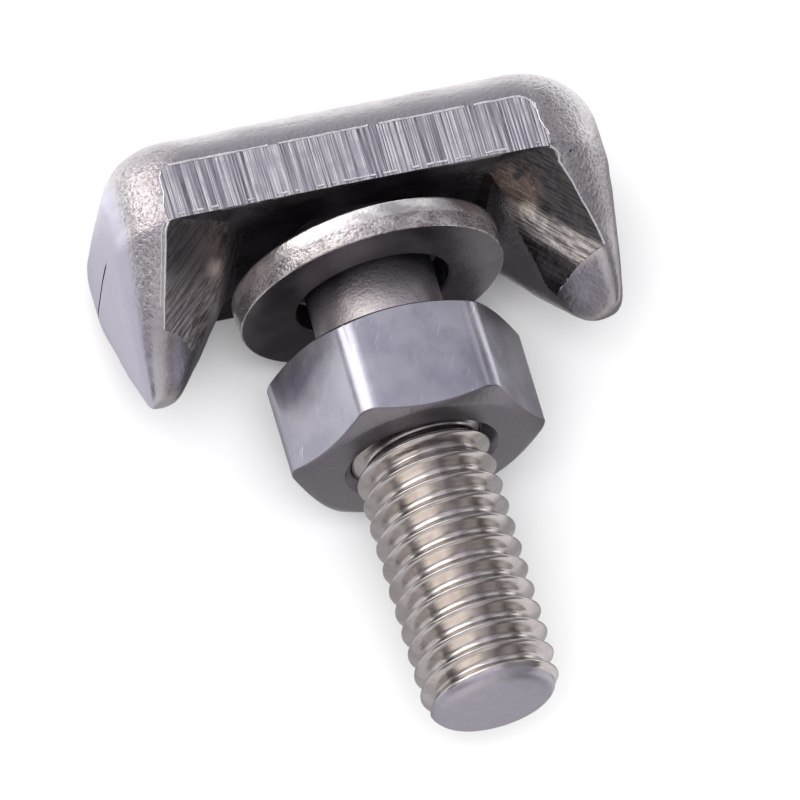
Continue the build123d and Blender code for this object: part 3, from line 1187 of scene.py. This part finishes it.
def hexagon(low, high):
    """The nut's blank between two corners of its box, with its upright edges rolled over."""
    corner, seat = (high.x - low.x) / 2, UNDERSIDE.y - high.y
    select_none()
    bpy.ops.mesh.primitive_cylinder_add(
        vertices=6, radius=corner, depth=high.y - low.y, rotation=(math.pi / 2, 0, 0),
        location=place(0, 0, seat + (high.y - low.y) / 2),
    )
    nut = bpy.context.object
    nut.name = "nut"
    bpy.ops.object.transform_apply(location=True, rotation=True, scale=True)
    if max(vertex.co.x for vertex in nut.data.vertices) < corner - 0.1 * MM:
        turn = Matrix.Rotation(math.radians(30), 4, "Y")
        nut.data.transform(Matrix.Translation(UNDERSIDE) @ turn @ Matrix.Translation(-UNDERSIDE))
    select_only(nut)
    bpy.ops.object.mode_set(mode="EDIT")
    shape = bmesh.from_edit_mesh(nut.data)
    for edge in shape.edges:
        along = (edge.verts[0].co - edge.verts[1].co).normalized()
        edge.select_set(abs(along.y) > 0.9)
    bmesh.update_edit_mesh(nut.data)
    bpy.ops.mesh.select_mode(type="EDGE")
    width = bpy.context.scene.finish_sizes.nut_edge
    bpy.ops.mesh.bevel(offset=width, segments=6, affect="EDGES", offset_type="WIDTH")
    bpy.ops.object.mode_set(mode="OBJECT")
    return nut


class BOLT_OT_nut(bpy.types.Operator):
    """Model the hex nut with its bevels and its thread"""

    bl_idname = "bolt.nut"
    bl_label = "Hex nut"

    def execute(self, context):
        stud = context.scene.stud_sizes
        low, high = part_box("hex_nut")
        seat, height, corner = UNDERSIDE.y - high.y, high.y - low.y, (high.x - low.x) / 2
        nut = hexagon(low, high)

        face = context.scene.finish_sizes.nut_face / 2
        fall = (corner - face) * math.tan(math.radians(30))
        soft = 0.12 * MM
        profile = [(0.2 * MM, 0.0), (face - soft, 0.0), (face, soft * 0.3), (corner, fall)]
        profile += [(corner + soft, fall + soft)]
        profile += [(radius, height - depth) for radius, depth in reversed(profile)]
        bevels = skin("nut_bevels", [round_ring(radius, seat + depth, 144) for radius, depth in profile])
        cut_with(nut, bevels, "INTERSECT")
        apply_modifier(
            nut, "BEVEL", width=0.11 * MM, segments=3, limit_method="ANGLE", angle_limit=math.radians(22),
            use_clamp_overlap=True,
        )

        mouth, clearance, past = 0.4 * MM, 0.05 * MM, 0.5 * MM

        def bore_radius(angle, depth):
            from_end = min(depth - seat, seat + height - depth)
            countersink = stud.major / 2 + mouth - max(from_end, 0.0)
            return max(threaded_radius(stud, angle, depth, clearance), countersink)

        levels = int(height / stud.pitch * 14)
        depths = [seat + height * level / levels for level in range(levels + 1)]
        depths = [seat - past, *depths, seat + height + past]
        cut_with(nut, skin("nut_bore", [polar_ring(bore_radius, depth, 96) for depth in depths]))
        smooth(nut, 32)
        paint(nut, everywhere, nut_steel())
        paint(nut, lambda centre, normal: abs(normal.y) > 0.3, nut_face_steel())
        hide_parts("hex_nut")
        finish_piece(nut, "nut")
        return {"FINISHED"}


# ---------------------------------------------------------------- stage


# What the steel mirrors, painted over the tent in order: the way to each light, the angles in degrees inside
# which it is full and outside which it is gone, and its linear colour.
LIGHTS_BEHIND_BOX = (
    ((0.68, 0.41, 0.6), 8, 20, (0.8, 0.78, 0.8, 1)),  # the right panel
    ((0.86, 0.38, 0.33), 5, 12, (0.24, 0.23, 0.23, 1)),  # the gap below it
    ((0.9, 0.42, -0.06), 9, 16, (1.4, 1.37, 1.4, 1)),  # low on the right
    ((0.15, 0.98, 0.06), 14, 31, (1.0, 0.99, 1.01, 1)),  # the back wall
)
LIGHTS_OVER_BOX = (
    ((0.1, -0.85, 0.45), 12, 36, (0.62, 0.6, 0.62, 1)),  # the front
    ((-0.14, -0.97, 0.1), 17, 30, (0.92, 0.89, 0.87, 1)),  # its lit part
    ((0.6, -0.77, 0.1), 12, 24, (0.16, 0.15, 0.14, 1)),  # its dark part
    ((-0.72, -0.615, 0.3), 10, 20, (0.2, 0.19, 0.2, 1)),  # the dark left of the front
    ((-0.3, 0.64, 0.7), 10, 21, (1.7, 1.65, 1.6, 1)),  # high at the back
    ((-0.61, 0.407, 0.68), 20, 29, (2.6, 2.5, 2.4, 1)),  # the hot lamp on the left
)


def lit_towards(add, direction, shade, lights):
    """Paints lights over a shade, each where the direction lies towards it."""
    for way, narrow, wide, light in lights:
        facing = add("VectorMath", direction, Vector(way).normalized(), operation="DOT_PRODUCT")
        edges = math.cos(math.radians(wide)), math.cos(math.radians(narrow))
        shade = add("Mix", add("MapRange", facing, *edges, **EASED), shade, light, **COLOURS)
    return shade


def tent_material():
    """The light tent that the steel mirrors: a softbox overhead, a hot lamp on the left, and dark walls."""
    material, add, glow, place_of = new_material("light tent", "Emission")
    direction = add("VectorMath", place_of, operation="NORMALIZE")
    across, _, up = add("SeparateXYZ", direction).outputs
    height = add("MapRange", up, 0.05, 0.6, **EASED)
    shade = add("Mix", height, (0.24, 0.23, 0.24, 1), (0.36, 0.35, 0.39, 1), **COLOURS)
    shade = lit_towards(add, direction, shade, LIGHTS_BEHIND_BOX)
    box = add("MapRange", across, 0.33, 0.12, **EASED)
    box = add("Math", box, add("MapRange", across, -0.95, -0.86, **EASED), **TIMES)
    box = add("Math", box, add("MapRange", up, 0.12, 0.3, **EASED), **TIMES)
    shade = add("Mix", box, shade, (0.86, 0.84, 0.92, 1), **COLOURS)
    fill(glow.inputs["Color"], lit_towards(add, direction, shade, LIGHTS_OVER_BOX))
    return material


def floor_material():
    """A sheet of white paper."""
    material, _, shader, _ = new_material("white paper sweep")
    for name, value in {"Base Color": "#f6f6f7", "Roughness": 0.8, "Specular IOR Level": 0.1}.items():
        fill(shader.inputs[name], value)
    return material


def card_material():
    """The tabletop as the steel mirrors it, painted on a glowing card: grey close by, a painted shadow under
    the bolt, bright past both ends.
    """
    material, add, glow, place_of = new_material("grey table card", "Emission")
    x, y, _ = add("SeparateXYZ", place_of).outputs
    off_middle = add("Math", x, operation="ABSOLUTE")
    near_right = add("MapRange", x, 6 * MM, 9.5 * MM, **EASED)
    near_right = add("Math", near_right, add("MapRange", y, -5 * MM, -1 * MM, **EASED), **TIMES)
    beyond_right = add("MapRange", x, 19 * MM, 28 * MM, **EASED)
    beyond_left = add("MapRange", x, -10.4 * MM, -12.5 * MM, **EASED)
    behind = add("MapRange", y, 13 * MM, 19 * MM, **EASED)
    # a painted shadow under the bolt, in the steel's reflections
    under = add("MapRange", y, 0.2 * MM, 1.8 * MM, **EASED)
    under = add("Math", under, add("MapRange", off_middle, 6.7 * MM, 5.7 * MM, **EASED), **TIMES)
    under = add("Math", under, add("MapRange", y, 11 * MM, 9 * MM, **EASED), **TIMES)
    ahead = add("Math", add("MapRange", y, -13.5 * MM, -14.5 * MM, **EASED), 0.6, **TIMES)
    # sectors of the table in front of the stud, by how far a place is aside for each unit forward
    forward = add("Math", -5 * MM, y, operation="SUBTRACT")
    aside = add("Math", x, add("Math", forward, 1 * MM, operation="MAXIMUM"), operation="DIVIDE")
    beyond = add("MapRange", forward, 12.5 * MM, 20 * MM, **EASED)
    lit = add("MapRange", aside, 0.22, 0.08, **EASED)
    lit = add("Math", lit, add("MapRange", aside, -0.7, -0.4, **EASED), **TIMES)
    unlit = add("MapRange", aside, 0.13, 0.22, **EASED)
    unlit = add("Math", unlit, add("MapRange", aside, 0.8, 0.65, **EASED), **TIMES)
    flank = add("MapRange", forward, 5 * MM, 9 * MM, **EASED)
    flank = add("Math", flank, add("MapRange", aside, 0.65, 0.85, **EASED), **TIMES)
    shade = (0.5, 0.49, 0.5, 1)
    for share, light in (
        (near_right, (0.3, 0.29, 0.3, 1)),
        (beyond_right, (1.0, 0.98, 1.0, 1)),
        (beyond_left, (0.86, 0.84, 0.87, 1)),
        (behind, (1.5, 1.5, 1.5, 1)),
        (under, (0.09, 0.085, 0.09, 1)),
        (ahead, (0.75, 0.73, 0.78, 1)),
        (add("Math", beyond, lit, **TIMES), (0.92, 0.89, 0.87, 1)),
        (add("Math", beyond, unlit, **TIMES), (0.22, 0.21, 0.2, 1)),
        (flank, (1.0, 0.98, 1.0, 1)),
    ):
        shade = add("Mix", share, shade, light, **COLOURS)
    fill(glow.inputs["Color"], shade)
    return material


def set_piece(name, primitive_add, material, **settings):
    """Adds a piece of the stage from a primitive."""
    select_none()
    primitive_add(**settings)
    piece = bpy.context.object
    piece.name = name
    piece.data.materials.append(material)
    return piece


def unseen_but_mirrored(piece):
    """Leaves a piece to the steel's reflections alone."""
    piece.visible_camera = False
    piece.visible_diffuse = False
    piece.visible_shadow = False
    piece.visible_transmission = False


def lamp(name, location, size, power):
    """A soft rectangular lamp, turned to the middle of the table, that the steel doesn't mirror."""
    light = bpy.data.lights.new(name, "AREA")
    light.shape = "RECTANGLE"
    light.size, light.size_y = size
    light.energy = power
    holder = bpy.data.objects.new(name, light)
    bpy.context.collection.objects.link(holder)
    holder.location = location
    holder.visible_camera = False
    holder.visible_glossy = False
    holder.rotation_euler = (-holder.location).to_track_quat("-Z", "Y").to_euler()


def studio_world():
    """A white world that lights a little less than it shows."""
    world = bpy.data.worlds.new("studio")
    world.use_nodes = True
    world.node_tree.nodes.clear()
    add = partial(add_node, world.node_tree)
    rays = add("LightPath").outputs
    seen = add("Math", rays["Is Camera Ray"], rays["Is Glossy Ray"], operation="MAXIMUM")
    seen = add("Math", seen, rays["Is Transmission Ray"], operation="MAXIMUM")
    strength = add("Math", 0.85, add("Math", seen, 0.15, **TIMES), operation="ADD")
    add("OutputWorld", add("Background", (1, 1, 1, 1), strength))
    return world


def long_lens(aimed_at, back, right, distance, width, sensor=36):
    """A camera at a distance from a place, whose picture is so wide there."""
    camera_data = bpy.data.cameras.new("camera")
    camera_data.sensor_width = sensor
    camera_data.lens = sensor * distance / width
    camera_data.clip_start = 0.01
    camera_data.clip_end = 20
    camera = bpy.data.objects.new("camera", camera_data)
    bpy.context.collection.objects.link(camera)
    up = back.cross(right).normalized()
    turn = Matrix((up.cross(back), up, back)).transposed().to_4x4()
    camera.matrix_world = Matrix.Translation(aimed_at + back * distance) @ turn
    return camera


class BOLT_OT_stage(bpy.types.Operator):
    """Lay the floor and set the lamps, the light tent, the world and the camera"""

    bl_idname = "bolt.stage"
    bl_label = "Stage"

    def execute(self, context):
        plane, sphere = bpy.ops.mesh.primitive_plane_add, bpy.ops.mesh.primitive_uv_sphere_add
        floor = set_piece("floor", plane, floor_material(), size=4, location=(0, 0, 0))
        tent = set_piece("light_tent", sphere, tent_material(), segments=64, ring_count=32, radius=1.6)
        card = set_piece("table_card", plane, card_material(), size=3, location=(0, 0, -0.02 * MM))
        select_none()
        unseen_but_mirrored(tent)
        unseen_but_mirrored(card)
        floor.visible_glossy = False
        lamp("overhead", (-0.12, -0.18, 0.42), (0.34, 0.34), 1.5)
        lamp("left_panel", (-0.40, 0.16, 0.17), (0.22, 0.18), 0.4)
        scene = context.scene
        scene.world = studio_world()
        right = Vector((0.958, -0.264, 0.106)).normalized()
        back = Vector((-0.210, -0.407, 0.889)).normalized()
        scene.camera = long_lens(Vector((0.50, 2.54, 3.02)) * MM, back, right, 1.0, 33.76 * MM)
        scene.view_settings.view_transform = "Standard"
        return {"FINISHED"}


class BOLT_PT_panel(bpy.types.Panel):
    """Lists the steps that make the bolt"""

    bl_label = "T-slot Bolt"
    bl_idname = "BOLT_PT_panel"
    bl_space_type = "VIEW_3D"
    bl_region_type = "UI"
    bl_category = "T-slot Bolt"

    def draw(self, context):
        for step in STEPS:
            self.layout.operator(step.bl_idname)
        for group in ("bolt_sizes", "stud_sizes", "finish_sizes", "steel_colours"):
            settings = getattr(context.scene, group)
            column = self.layout.column()
            for name in settings.__annotations__:
                column.prop(settings, name)


STEPS = (BOLT_OT_stage, BOLT_OT_head, BOLT_OT_stud, BOLT_OT_washer, BOLT_OT_nut)
CLASSES = (BoltSettings, StudSettings, FinishSettings, ColourSettings, *STEPS, BOLT_PT_panel)


def register():
    for made in CLASSES:
        bpy.utils.register_class(made)
    bpy.types.Scene.bolt_sizes = bpy.props.PointerProperty(type=BoltSettings)
    bpy.types.Scene.stud_sizes = bpy.props.PointerProperty(type=StudSettings)
    bpy.types.Scene.finish_sizes = bpy.props.PointerProperty(type=FinishSettings)
    bpy.types.Scene.steel_colours = bpy.props.PointerProperty(type=ColourSettings)


def unregister():
    for name in ("steel_colours", "finish_sizes", "stud_sizes", "bolt_sizes"):
        delattr(bpy.types.Scene, name)
    for made in reversed(CLASSES):
        bpy.utils.unregister_class(made)


def main():
    register()
    bpy.ops.bolt.stage()
    bpy.ops.bolt.head()
    bpy.ops.bolt.stud()
    bpy.ops.bolt.washer()
    bpy.ops.bolt.nut()


if __name__ == "__main__":
    main()
